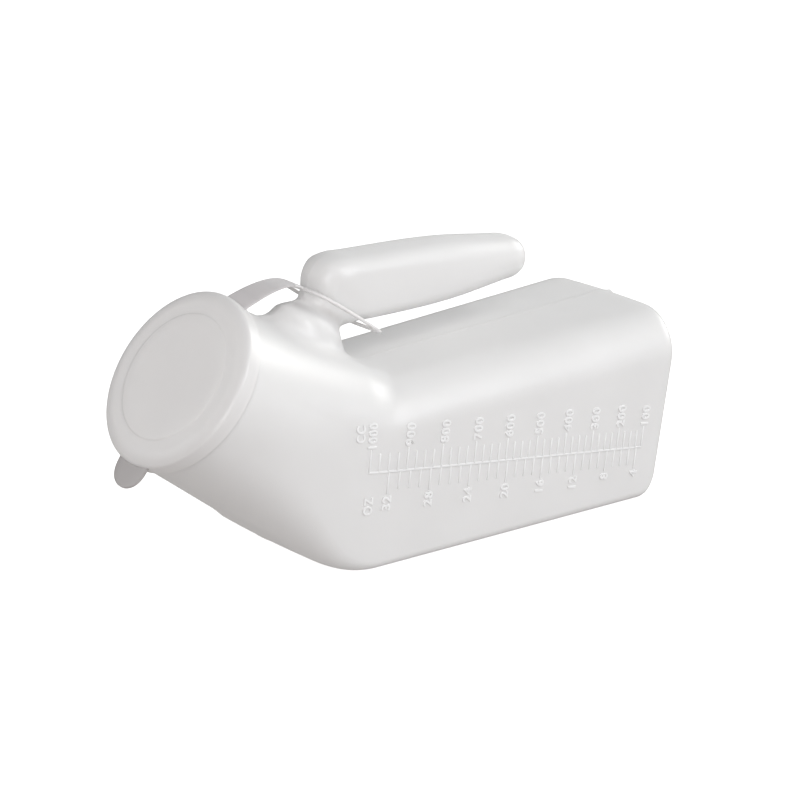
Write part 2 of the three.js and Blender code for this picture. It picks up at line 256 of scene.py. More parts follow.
CAMERA_TARGET = (0.00726, 0.0, 0.0525)
CAMERA_DISTANCE = 1.032
CAMERA_AZIMUTH = math.radians(-40.74)
CAMERA_ELEVATION = math.radians(18.33)
CAMERA_ROLL = math.radians(1.85)
CAMERA_SENSOR = 36
CAMERA_LENS = 112.89

FLOOR_HALF_SIZE = 4.0
FLOOR_GLOW = 0.7
ABOVE = (0.3, 0.3, 0.3)
BELOW = (0.52, 0.5, 0.49)
# Name, direction from the object, distance, size, power and colour.
LIGHTS = [
    ("key", (0.3, -0.65, 0.7), 1.5, 0.5, 4.4, (1, 1, 0.98)),
    ("key_low", (0.35, -0.85, 0.4), 1.5, 0.6, 6.3, (0.93, 0.96, 1)),
    ("key_left", (-0.25, -0.65, 0.72), 1.5, 0.5, 2.1, (1, 1, 1)),
    ("front_left", (-0.75, -0.65, 0.35), 1.8, 0.8, 10.2, (1, 0.96, 0.95)),
    ("left", (-1, 0.1, 0.35), 1.8, 0.8, 1.0, (1, 1, 1)),
    ("back_left", (-0.8, 0.7, 0.5), 1.7, 0.8, 4.0, (1, 1, 1)),
    ("right", (1, -0.1, 0.35), 1.7, 0.8, 9.9, (1, 1, 0.97)),
    ("back_right", (0.8, 0.8, 0.35), 1.7, 0.8, 1.4, (1, 1, 1)),
]

# ---------------------------------------------------------------- directions


def direction(degrees):
    """A unit vector in the mid plane, turned up from +X."""
    return np.array([math.cos(math.radians(degrees)), 0, math.sin(math.radians(degrees))])


MOUTH_CENTRE = np.array([MOUTH_X, 0, MOUTH_Z])
MOUTH_AXIS = direction(180 - MOUTH_TILT)
MOUTH_UP = direction(90 - MOUTH_TILT)
SIDEWAYS = np.array([0, 1, 0])

# ---------------------------------------------------------------- sections of the moulding


def section(low_x, low_z, high_x, high_z, half_width, low_radius, high_radius, crown, roundness):
    """Numbers of one section: its low and high point, its corners and how round it is."""
    return np.array(
        [low_x, low_z, high_x, high_z, half_width, low_radius, high_radius, crown, roundness], float
    )


def mix(a, b, share):
    """The value at a share of the way from a to b."""
    return a + (b - a) * share


def eased(share):
    """A share from 0 to 1 that starts and ends gently."""
    return share * share * (3 - 2 * share)


def round_corner(a, b, c, count, pull=1):
    """The corner a-b-c as a rational quadratic curve: the more pull, the tighter it turns at b."""
    shapes = []
    for t in np.linspace(0, 1, count):
        first, middle, last = (1 - t) ** 2, 2 * pull * t * (1 - t), t ** 2
        shapes.append((a * first + b * middle + c * last) / (first + middle + last))
    return shapes


def between(a, b, start, end, count):
    """Sections between two others, without the first and the last."""
    return [mix(a, b, t) for t in np.linspace(start, end, count + 2)[1:-1]]


def corner_point(turn, half_width, half_height, radius):
    """A quarter of a rounded rectangle, as turn runs from its side to its top."""
    angle = (np.clip(turn, 0.25, 0.75) - 0.25) * math.pi
    y = half_width - radius + radius * np.cos(angle)
    v = half_height - radius + radius * np.sin(angle)
    y = np.where(turn > 0.75, (half_width - radius) * (1 - turn) * 4, y)
    v = np.where(turn < 0.25, (half_height - radius) * turn * 4, v)
    return y, v


def ring(shape, inset, angles, seam=0.0, nub=0.0):
    """Points of a section's outline, moved in by an inset, with the mould's seam and nub standing proud."""
    low, high = shape[0:2], shape[2:4]
    up = (high - low) / np.linalg.norm(high - low)
    half_height = np.linalg.norm(high - low) / 2 - inset
    half_width = shape[4] - inset
    sideways, rise = np.cos(angles), np.sin(angles)
    turn = np.arctan2(abs(rise), abs(sideways)) / (math.pi / 2)
    wanted = np.where(rise > 0, shape[6], shape[5]) - inset
    radius = np.clip(wanted, LEAST_CORNER, min(half_width, half_height) - CORNER_CLEARANCE)
    y, v = corner_point(turn, half_width, half_height, radius)
    y = mix(y, half_width * abs(sideways), shape[8])
    v = mix(v, half_height * abs(rise), shape[8])
    crown = shape[7] * (1 - (1 - (y / half_width) ** 2) ** 2) * (v / half_height)
    v = v - np.where(rise > 0, crown, 0)
    on_seam = abs(sideways) < 1e-6
    v = v + np.where(on_seam, seam, 0) + nub * np.exp(-((y / NUB_REACH) ** 2))
    y = np.where(on_seam, 0, y * np.sign(sideways))
    plane = (low + high) / 2 + np.outer(v * np.sign(rise), up)
    return np.stack([plane[:, 0], y, plane[:, 1]], axis=1)


def ring_angles(count):
    """Even steps round a section, with two more points beside the seam at its top and bottom."""
    even = np.arange(count) * 360 / count
    beside = [90 - SEAM_HALF_ANGLE, 90 + SEAM_HALF_ANGLE, 270 - SEAM_HALF_ANGLE, 270 + SEAM_HALF_ANGLE]
    return np.radians(np.sort(np.concatenate([even, beside])))


# ---------------------------------------------------------------- meshes


def placed(points):
    """Millimetres in the mid plane's frame to metres in the part's frame."""
    return (np.asarray(points, float) + np.array([FRAME_SHIFT, 0, 0])) * MM


def make(name, points, faces):
    """A new object with a smooth mesh, from points in millimetres."""
    mesh = bpy.data.meshes.new(name)
    mesh.from_pydata(placed(points).tolist(), [], faces)
    obj = bpy.data.objects.new(name, mesh)
    bpy.context.scene.collection.objects.link(obj)
    finish_mesh(obj)
    return obj


def finish_mesh(obj):
    """Smooth shading, with hard edges only where the surface really turns."""
    mesh = obj.data
    mesh.validate()
    mesh.polygons.foreach_set("use_smooth", [True] * len(mesh.polygons))
    mesh.set_sharp_from_angle(angle=math.radians(SMOOTH_ANGLE))


def skin(rings, wraps=False):
    """Joins rings into one closed surface that faces out: capped ends, or the last ring meets the first."""
    count = len(rings[0])
    points = np.concatenate(rings)
    spans = len(rings) if wraps else len(rings) - 1
    faces = []
    for row in range(spans):
        here, there = row * count, (row + 1) % len(rings) * count
        for i in range(count):
            j = (i + 1) % count
            faces.append((here + i, here + j, there + j, there + i))
    if not wraps:
        faces.append(tuple(range(count))[::-1])
        faces.append(tuple(range((len(rings) - 1) * count, len(rings) * count)))
    return points, outward(points, faces)


def outward(points, faces):
    """Turns the faces round if they face inwards."""
    volume = 0
    for face in faces:
        corners = points[list(face)]
        volume += np.cross(corners[1:-1], corners[2:]).dot(corners[0]).sum()
    return [face[::-1] for face in faces] if volume < 0 else faces


def boolean(obj, tool, operation):
    """Cuts or joins a solid with another, which is used up."""
    cutter = obj.modifiers.new(operation, "BOOLEAN")
    cutter.operation = operation
    cutter.object = tool
    cutter.solver = "MANIFOLD"
    depsgraph = bpy.context.evaluated_depsgraph_get()
    result = bpy.data.meshes.new_from_object(obj.evaluated_get(depsgraph))
    obj.modifiers.clear()
    obj.data = result
    bpy.data.objects.remove(tool)


# ---------------------------------------------------------------- bottle skins


def at_mouth(radius, along):
    """The point of the mid plane at a radius above the mouth's axis and a distance out along it."""
    return MOUTH_CENTRE + MOUTH_UP * radius + MOUTH_AXIS * along


def mouth_section(radius, along):
    """A round section, square to the mouth's axis."""
    low, high = at_mouth(-radius, along), at_mouth(radius, along)
    return section(low[0], low[2], high[0], high[2], radius, radius, radius, 0, 1)


def tank_section(x, size):
    """A section of the tank that leans back from x on its underside."""
    shift = size["height"] * math.tan(math.radians(size["lean"]))
    return section(
        x, 0, x + shift, size["height"], size["width"] / 2, BOTTOM_CORNER, TOP_CORNER, TOP_CROWN, 0
    )


CREASE_SECTION = tank_section(0, CREASE)
BASE_SECTION = tank_section(TANK_LENGTH, BASE)
NECK_END = mouth_section(NECK_RADIUS, -NECK_STRAIGHT)


def body_shapes():
    """Sections from the top of the neck to where the base edge begins to turn."""
    neck_top = mouth_section(NECK_RADIUS, 0)
    shapes = between(neck_top, NECK_END, NECK_START, NECK_TURN, 4)
    after = mix(NECK_END, CREASE_SECTION, NECK_BLEND)
    shapes += round_corner(mix(NECK_END, neck_top, NECK_TURN), NECK_END, after, 13)
    shapes += between(NECK_END, CREASE_SECTION, NECK_BLEND, 1 - CREASE_BEFORE, 16)
    before = mix(CREASE_SECTION, NECK_END, CREASE_BEFORE)
    after = mix(CREASE_SECTION, BASE_SECTION, CREASE_AFTER)
    shapes += round_corner(before, CREASE_SECTION, after, 25, CREASE_TURN)
    shapes += between(CREASE_SECTION, BASE_SECTION, CREASE_AFTER, 1 - BASE_EDGE / TANK_LENGTH, 44)
    return shapes


def base_rings(inset, angles, seam):
    """The rounded base edge, its flat ring and the push-up, moved in by the inset."""
    edge = BASE_EDGE - inset
    gain = np.array([0, 0, 0, 0, 0, LOW_CORNER_GAIN, HIGH_CORNER_GAIN, 0, 0])
    rings = []
    for degrees in np.linspace(0, 90, 19):
        turn = math.radians(degrees)
        back = inset + edge * (1 - math.sin(turn))
        inwards = edge * (1 - math.cos(turn))
        shape = mix(CREASE_SECTION, BASE_SECTION, 1 - back / TANK_LENGTH) + gain * inwards
        nub = NUB_HEIGHT * math.exp(-(((degrees - NUB_TURN) / NUB_SPREAD) ** 2)) if seam else 0
        rings.append(ring(shape, inset + inwards, angles, seam, nub))
    for step in np.linspace(0, 1, 9):
        depth = inset + PUSH_UP_DEPTH * eased(step)
        shape = mix(CREASE_SECTION, BASE_SECTION, 1 - depth / TANK_LENGTH) + gain * edge
        rings.append(ring(shape, BASE_EDGE + PUSH_UP_START + PUSH_UP_SLOPE * step, angles))
    return rings


def circles(profile, angles):
    """Round rings about the mouth's axis, from pairs of radius and distance out along it."""
    return [ring(mouth_section(radius, along), 0, angles) for radius, along in profile]


def bottle_skin(angles):
    """The outside: lip and snap bead, neck, tank and base."""
    lip = [(MOUTH_INSIDE + out, LIP - back) for out, back in LIP_EDGE]
    lip += [(BEAD - inwards, LIP - back) for inwards, back in BEAD_EDGE]
    lip += [(NECK_RADIUS, LIP - LIP_LENGTH)]
    rings = circles(lip, angles)
    rings += [ring(shape, 0, angles, SEAM_HEIGHT) for shape in body_shapes()]
    return skin(rings + base_rings(0, angles, SEAM_HEIGHT))


def bottle_hollow(angles):
    """The inside, running out past the lip."""
    rings = circles([(MOUTH_INSIDE, LIP + BORE_BEYOND), (MOUTH_INSIDE, BORE_END)], angles)
    rings += [ring(shape, WALL, angles) for shape in body_shapes()[::2]]
    return skin(rings + base_rings(WALL, angles, 0)[2:])


# ---------------------------------------------------------------- handle skins

# From inside the neck, up the stem and along the grip to its tip: each section runs from the underside
# of the bend to its back.
HANDLE_SECTIONS = [
    # The stem.
    section(27, 66, -11, 86, 17, 12, 12, 0, 0.8),
    section(27.5, 75, -8.5, 97.5, 15, 11, 11, 0, 0.8),
    section(25.5, 80, -2.5, 103, 12.5, 10, 10, 0, 0.8),
    section(24, 84.5, 6.5, 104, 9.6, 8, 8, 0, 0.7),
    section(22.8, 89.5, 9, 107.3, 9.3, 8, 8, 0, 0.6),
    # The heel, where the stem bends into the grip.
    section(30, 91.6, 10.4, 114, 10.6, 8, 8, 0, 0.4),
    section(37, 92, 14.4, 118.8, 11.8, 8, 8, 0, 0.3),
    section(43, 92.1, 21, 120.6, 12, 8, 8, 0, 0.28),
    # The grip.
    section(50, 92.2, 30, 120.4, 12, 8, 8, 0, 0.25),
    section(84, 93.8, 80, 118.9, 12, 8, 8, 0, 0.25),
    section(111, 96.6, 109, 115.9, 10.5, 8, 8, 0, 0.4),
]


def through(keys, spacing):
    """A smooth curve of sections through the key sections, about one spacing apart."""
    keys = np.array(keys)
    centres = (keys[:, 0:2] + keys[:, 2:4]) / 2
    gaps = np.linalg.norm(np.diff(centres, axis=0), axis=1)
    at = np.concatenate([[0], np.cumsum(gaps)])
    slopes = np.gradient(keys, at, axis=0)
    shapes = []
    for i, gap in enumerate(gaps):
        for t in np.arange(0, 1, 1 / max(2, round(gap / spacing))):
            shape = mix(keys[i], keys[i + 1], eased(t))
            shape = shape + slopes[i] * gap * t * (1 - t) ** 2 - slopes[i + 1] * gap * t * t * (1 - t)
            shapes.append(shape)
    return shapes + [keys[-1]]


def handle_skin(inset, angles, spacing, seam):
    """The stem and the grip with its rounded nose, moved in by the inset."""
    rings = [ring(shape, inset, angles, seam) for shape in through(HANDLE_SECTIONS, spacing)]
    tip = HANDLE_SECTIONS[-1]
    ahead = np.array([1, 0, 1, 0, 0, 0, 0, 0, 0])
    for degrees in np.linspace(0, NOSE_TURN, 14)[1:]:
        turn = math.radians(degrees)
        shrink = (NOSE_RADIUS - inset) * (1 - math.cos(turn))
        nose = tip + ahead * (NOSE_LENGTH - inset) * math.sin(turn)
        rings.append(ring(nose, inset + shrink, angles, seam * math.cos(turn)))
    return skin(rings)


def soften_join(obj, skins):
    """Rounds the inside corner where two joined skins meet, wide in front of the stem and tight behind."""
    mesh = obj.data
    points = np.array([v.co for v in mesh.vertices])
    trees = [BVHTree.FromPolygons(*skin_data) for skin_data in skins]
    on_join = [
        i for i, p in enumerate(points)
        if all(tree.find_nearest(Vector(p))[3] < JOIN_TOLERANCE * MM for tree in trees)
    ]
    join = KDTree(len(on_join))
    for i in on_join:
        join.insert(points[i], i)
    join.balance()
    away = np.array([join.find(p)[2] for p in points])
    reach = np.interp(points[:, 0] / MM - FRAME_SHIFT, [JOIN_FRONT, JOIN_BACK], JOIN_REACH) * MM
    weight = eased(np.clip(1 - away / reach, 0, 1))[:, None]
    edges = np.array([e.vertices[:] for e in mesh.edges])
    near = edges[(weight[edges, 0] > 0).any(axis=1)]
    ends = np.concatenate([near[:, 0], near[:, 1]])
    others = np.concatenate([near[:, 1], near[:, 0]])
    neighbours = np.bincount(ends, minlength=len(points))[:, None]
    for _ in range(JOIN_ROUNDS):
        total = np.zeros_like(points)
        np.add.at(total, ends, points[others])
        mean = np.where(neighbours > 0, total / np.maximum(neighbours, 1), points)
        points = points + (mean - points) * weight * JOIN_STEP
    mesh.vertices.foreach_set("co", points.ravel())


# The part's frame has its origin in the middle of the underside. The base's furthest point says where
# x = 0 of the sections lies in it.
FURTHEST = max(points[:, 0].max() for points in base_rings(0, ring_angles(32), 0))
FRAME_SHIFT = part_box("bottle_shell")[1].x / MM - FURTHEST

# ---------------------------------------------------------------- bottle body


def bottle_body():
    """The moulding in one piece: bottle and handle joined, softened at the join, and hollowed."""
    outer_points, outer_faces = bottle_skin(ring_angles(176))
    stem_points, stem_faces = handle_skin(0, ring_angles(104), 1.1, STEM_SEAM_HEIGHT)
    body = make("bottle_body", outer_points, outer_faces)
    boolean(body, make("stem", stem_points, stem_faces), "UNION")
    skins = [(placed(outer_points).tolist(), outer_faces), (placed(stem_points).tolist(), stem_faces)]
    soften_join(body, skins)
    boolean(body, make("hollow", *bottle_hollow(ring_angles(96))), "DIFFERENCE")
    boolean(body, make("bore", *handle_skin(WALL, ring_angles(48), 2.5, 0)), "DIFFERENCE")
    finish_mesh(body)
    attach(body, "root")
    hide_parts("bottle_shell", "handle_stem", "handle_grip", "mouth_rim")
    return body


# ---------------------------------------------------------------- lid


def lathe(profile):
    """A profile of radius and distance along the mouth's axis, turned round that axis."""
    turns = np.arange(LID_STEPS) * 2 * math.pi / LID_STEPS
    circle = np.outer(np.cos(turns), SIDEWAYS) + np.outer(np.sin(turns), MOUTH_UP)
    return skin([MOUTH_CENTRE + MOUTH_AXIS * along + radius * circle for radius, along in profile])


def arc(centre_radius, centre_along, radius, start, end, count):
    """Profile points on a circle, from one angle to another, in degrees from outwards to forwards."""
    points = []
    for degrees in np.linspace(start, end, count):
        turn = math.radians(degrees)
        points.append((centre_radius + radius * math.cos(turn), centre_along + radius * math.sin(turn)))
    return points


def lid_profile():
    """From the middle of the ceiling, out and down the skirt, back up its outside and over the face."""
    profile = [(radius, LID_CEILING) for radius in CEILING_RADII]
    profile += arc(LID_INSIDE - CEILING_CORNER, LID_CEILING - CEILING_CORNER, CEILING_CORNER, 90, 0, 6)
    profile += [(LID_INSIDE, along) for along in SKIRT_INSIDE]
    profile += arc(LID_OUTSIDE - SKIRT_RIM, LID_BACK + SKIRT_RIM, SKIRT_RIM, -110, 0, 6)
    profile += [(LID_OUTSIDE - inwards, along) for inwards, along in SKIRT_DRAFT]
    for radius, along in arc(0, 0, 1, 0, 90, 17):
        out = LID_EDGE_OUT * (radius - 1)
        up = LID_EDGE_DOWN * (along - 1)
        profile.append((LID_FACE_RADIUS + out, LID_FACE + up))
    profile += [(DISC_RADIUS + out, LID_FACE + up) for out, up in DISC_EDGE]
    for radius in DISC_RADII:
        dish = DISC_DISH * (1 - (radius / DISC_RADIUS) ** 2)
        profile.append((radius, LID_FACE + DISC_STEP - dish))
    return profile


def lid_cap():
    """The snap lid without its tab and strap."""
    cap = make("lid_snap_cap", *lathe(lid_profile()))
    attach(cap, "lid")
    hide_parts("lid_cap")
    return cap


def squared(value, power):
    """A power that keeps the sign, which turns a circle's outline into a rounded rectangle's."""
    return np.sign(value) * abs(value) ** power


def band_section(half_width, half_thickness):
    """A flat band's section with rounded edges, as pairs of across and up."""
    turns = np.arange(BAND_POINTS) * 2 * math.pi / BAND_POINTS
    straight = max(half_width - half_thickness, 0)
    across = straight * squared(np.cos(turns), BAND_FLAT) + half_thickness * np.cos(turns)
    up = half_thickness * squared(np.sin(turns), BAND_ROUND)
    return np.stack([across, up], axis=1)


def lid_tab():
    """The tongue under the lid: it stands straight out from the middle of the skirt."""
    sunk = LID_FACE_RADIUS - TAB_SUNK
    start = math.sqrt(sunk ** 2 - TAB_HALF_WIDTH ** 2)
    rings = []
    for step in np.sin(np.linspace(0, math.pi / 2, 28)):
        reach = min(step, TAB_BUILT)
        half_width = TAB_HALF_WIDTH * (1 - reach ** TAB_POWER) ** 0.5
        half_thickness = min(TAB_THICKNESS / 2, half_width * TAB_THINNING)
        pairs = band_section(half_width, half_thickness)
        straight = start + (TAB_TIP - start) * reach
        radius = mix(np.sqrt(sunk ** 2 - pairs[:, 0] ** 2), straight, min(reach / TAB_STRAIGHT, 1))
        rings.append(
            MOUTH_CENTRE + MOUTH_AXIS * TAB_ALONG + np.outer(pairs[:, 0], SIDEWAYS)
            - np.outer(radius, MOUTH_UP) + np.outer(pairs[:, 1], MOUTH_AXIS)
        )
    tab = make("lid_thumb_tab", *skin(rings))
    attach(tab, "lid")
    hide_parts("lid_pull_tab")
    return tab


# ---------------------------------------------------------------- strap and loop


def bezier(a, b, c, d, t):
    """A point of the cubic curve from a to d that b and c pull."""
    return a * (1 - t) ** 3 + 3 * b * t * (1 - t) ** 2 + 3 * c * t * t * (1 - t) + d * t ** 3


STRAP_START = at_mouth(STRAP_ROOT * math.cos(math.radians(STRAP_TURN)), STRAP_BACK)
STRAP_START = STRAP_START - SIDEWAYS * STRAP_ROOT * math.sin(math.radians(STRAP_TURN))
STRAP_END = np.array([LOOP_X, 0, LOOP_Z])
LOOP_ALONG = direction(LOOP_SLOPE)
LOOP_UP = direction(LOOP_SLOPE + 90)


def strap_point(t):
    """The strap's middle line, from the lid at 0 to the loop at 1, and straight on beyond both."""
    if t < 0:
        return STRAP_START + direction(STRAP_RISE) * t * 3 * ROOT_PULL
    if t > 1:
        return STRAP_END + LOOP_ALONG * (t - 1) * 3 * LOOP_PULL
    root = STRAP_START + direction(STRAP_RISE) * ROOT_PULL
    return bezier(STRAP_START, root, STRAP_END - LOOP_ALONG * LOOP_PULL, STRAP_END, t)


def strap_rings(start, end, count):
    """Band sections along the strap, rolled a little to lie square to the lid at its root."""
    rings = []
    for t in np.linspace(start, end, count):
        tangent = strap_point(t + 0.01) - strap_point(t - 0.01)
        tangent[1] = 0
        tangent /= np.linalg.norm(tangent)
        normal = np.array([-tangent[2], 0, tangent[0]])
        roll = math.radians(STRAP_TURN) * np.clip(1 - t, 0, 1)
        side = SIDEWAYS * math.cos(roll) + normal * math.sin(roll)
        up = normal * math.cos(roll) - SIDEWAYS * math.sin(roll)
        width = mix(STRAP_ROOT_WIDTH, STRAP_LOOP_WIDTH, min(max(t, 0), 1))
        pairs = band_section(width / 2, STRAP_THICKNESS / 2)
        rings.append(strap_point(t) + np.outer(pairs[:, 0], side) + np.outer(pairs[:, 1], up))
    return rings


def nearest_on_strap(point):
    """Where along the strap a point of the part's frame lies."""
    steps = np.linspace(0, 1, 201)
    line = np.array([placed(strap_point(t)) for t in steps])
    flat = (line - np.array(point))[:, [0, 2]]
    return steps[np.argmin((flat ** 2).sum(axis=1))]


def loop_turns():
    """Turns round the loop, closer together in the middle of its sides, where the power spreads them."""
    quarter = (np.linspace(0, 1, 24, endpoint=False) ** 2) / 2
    eighths = np.concatenate([quarter, 1 - quarter[::-1][:-1], [1 - 1e-4]])
    return np.concatenate([(eighths + k) * math.pi / 2 for k in range(4)])


def strap_loop_skin():
    """The flat ring that hangs round the stem, in the plane of the strap's end."""
    middle = LOOP_REACH / 2
    centre = STRAP_END + LOOP_ALONG * (middle + LOOP_GAP)
    half_arm = LOOP_ARM / 2
    pairs = band_section(half_arm, STRAP_THICKNESS / 2)
    reach = middle - half_arm + pairs[:, 0]
    width = LOOP_OUTSIDE - half_arm + pairs[:, 0]
    rings = []
    for turn in loop_turns():
        along = -squared(math.cos(turn), LOOP_CORNER)
        across = squared(math.sin(turn), LOOP_CORNER)
        rings.append(
            centre + np.outer(reach * along, LOOP_ALONG) + np.outer(width * across, SIDEWAYS)
            + np.outer(pairs[:, 1], LOOP_UP)
        )
    return skin(rings, wraps=True)


# Each piece of the strap, the node that it stands for and the hinge that it lies across.
STRAP_PIECES = [
    ("strap_root", "strap_link_1", "lid_hinge"),
    ("strap_rise", "strap_link_2", "strap_bend_lid"),
    ("strap_crest", "strap_link_3", "strap_bend_middle"),
    ("strap_and_loop", "strap_loop", "strap_bend_loop"),
]


def strap():
    """Four pieces that meet half way along the links, each lying across one hinge of the chain."""
    joints = {joint["name"]: joint for joint in frame["joints"]}
    chain = [joints[hinge] for _, _, hinge in STRAP_PIECES]
    at = [nearest_on_strap(joint["pos_m"]) for joint in chain]
    cuts = [at[0] - STRAP_SUNK]
    cuts += [(a + b) / 2 for a, b in zip(at, at[1:])]
    cuts += [1 + STRAP_INTO_LOOP]
    pieces = []
    for i, (name, node, _) in enumerate(STRAP_PIECES):
        piece = make(name, *skin(strap_rings(cuts[i], cuts[i + 1], 18)))
        if node == "strap_loop":
            boolean(piece, make("ring", *strap_loop_skin()), "UNION")
            finish_mesh(piece)
        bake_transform(piece)
        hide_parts(node)
        pieces.append(piece)
    return pieces


# ---------------------------------------------------------------- volume scale


def level_at(volume):
    """How far from the base the level of a volume stands; the tank narrows, so the levels spread."""
    litres = volume / 1000
    return LEVEL_EMPTY + litres * (LEVEL_RATE + litres * LEVEL_SPREAD)


def scale_frame():
    """Foot of the scale at the base, and its directions along the tank and up its side."""
    lean = math.radians(BASE["lean"])
    foot = np.array([TANK_LENGTH + SCALE_START * math.tan(lean), -BASE["width"] / 2, SCALE_START])
    taper = (BASE["width"] - CREASE["width"]) / 2 / TANK_LENGTH
    along = np.array([-math.cos(lean), taper, math.sin(lean)])
    return foot, along / np.linalg.norm(along), np.array([math.sin(lean), 0, math.cos(lean)])


def drape(points, tree):
    """Lays points of (along, up, height) on the near side wall."""
    foot, along, up = scale_frame()
    laid = []
    for distance, rise, height in points:
        spot = foot + along * distance + up * rise
        hit = tree.ray_cast(Vector(placed([spot[0], OUTSIDE, spot[2]])), Vector(SIDEWAYS))
        laid.append([spot[0], hit[0].y / MM - height, spot[2]])
    return np.array(laid)


def bar(start, end, half_width, height):
    """The skin of a rounded rib between two points of the scale's plane, in (along, up, height)."""
    start, end = np.array(start, float), np.array(end, float)
    length = np.linalg.norm(end - start)
    ahead = (end - start) / length
    side = np.array([-ahead[1], ahead[0]])
    beyond = half_width * RIB_END
    count = max(3, int(length / RIB_SPACING) + 2)
    rings = []
    for stop in [-beyond, *np.linspace(0, length, count), length + beyond]:
        at_end = stop < 0 or stop > length
        width = half_width * (RIB_END_WIDTH if at_end else 1)
        top = height * (RIB_END_HEIGHT if at_end else 1)
        middle = start + ahead * stop
        rings.append(np.array([
            [*(middle + side * across * width), rise * (top if rise > 0 else height)]
            for across, rise in RIB_OUTLINE
        ]))
    return skin(rings)


def joined(solids):
    """Several solids' points and faces as one pair."""
    points, faces, offset = [], [], 0
    for solid_points, solid_faces in solids:
        points.append(solid_points)
        faces += [tuple(i + offset for i in face) for face in solid_faces]
        offset += len(solid_points)
    return np.concatenate(points), faces


def scale_marks(tree):
    """Spine and marks: cubic centimetres above the spine and ounces below it."""
    bars = [bar((level_at(CC_LABEL), 0), (level_at(CC_FULL), 0), SPINE_WIDTH / 2, SCALE_HEIGHT * SPINE_RISE)]
    for cc in range(CC_LABEL, CC_FULL + 1, CC_STEP):
        at = level_at(cc)
        reach = SCALE_MAJOR if cc % CC_LABEL == 0 else SCALE_MINOR
        bars.append(bar((at, MARK_START), (at, reach), MARK_WIDTH / 2, SCALE_HEIGHT))
    for ounces in range(OUNCES_LABEL, OUNCES_FULL + 1):
        at = level_at(ounces * OUNCE)
        reach = SCALE_MAJOR if ounces % OUNCES_LABEL == 0 else SCALE_MINOR
        bars.append(bar((at, -MARK_START), (at, -reach), MARK_WIDTH / 2, SCALE_HEIGHT))
    points, faces = joined(bars)
    points = drape(points, tree)
    marks = make("scale_marks", points, outward(points, faces))
    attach(marks, "root")
    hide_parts("volume_scale")
    return marks


def lettering(text, at, start, narrow=1.0):
    """Raised characters, upright when the bottle stands on its base: their lines run up the side."""
    curve = bpy.data.curves.new("text", "FONT")
    curve.body = text
    curve.size = DIGIT_HEIGHT * FONT_SIZE
    curve.space_character = FONT_SPACING
    curve.extrude = SCALE_HEIGHT * LETTER_RISE
    curve.bevel_depth = LETTER_EDGE
    curve.offset = LETTER_WEIGHT
    obj = bpy.data.objects.new("text", curve)
    bpy.context.scene.collection.objects.link(obj)
    depsgraph = bpy.context.evaluated_depsgraph_get()
    mesh = bpy.data.meshes.new_from_object(obj.evaluated_get(depsgraph))
    points = np.array([v.co for v in mesh.vertices])
    faces = [tuple(p.vertices) for p in mesh.polygons]
    bpy.data.objects.remove(obj)
    bpy.data.curves.remove(curve)
    bpy.data.meshes.remove(mesh)
    points[:, 0] *= narrow
    left = points[:, 0].min()
    width = points[:, 0].max() - left
    up = start + points[:, 0] - left if start > 0 else start - width + points[:, 0] - left
    along = at + points[:, 1] - DIGIT_HEIGHT / 2
    return np.stack([along, up, points[:, 2] + LETTER_LIFT], axis=1), faces


def scale_numbers(tree):
    """A number at every long mark, and the units beside the full marks."""
    solids = []
    clear = SCALE_MAJOR + NUMBER_GAP
    for cc in range(CC_LABEL, CC_FULL + 1, CC_LABEL):
        solids.append(lettering(str(cc), level_at(cc), clear, FULL_NARROW if cc == CC_FULL else 1))
    for ounces in range(OUNCES_LABEL, OUNCES_FULL + 1, OUNCES_LABEL):
        solids.append(lettering(str(ounces), level_at(ounces * OUNCE), -clear))
    full = level_at(CC_FULL)
    solids.append(lettering("CC", full + CC_BEYOND, clear + CC_OUT, UNIT_NARROW))
    solids.append(lettering("OZ", full + OZ_BEYOND, -clear, UNIT_NARROW))
    points, faces = joined(solids)
    numbers = make("scale_numbers", drape(points, tree), faces)
    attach(numbers, "root")
    return numbers


# ---------------------------------------------------------------- materials


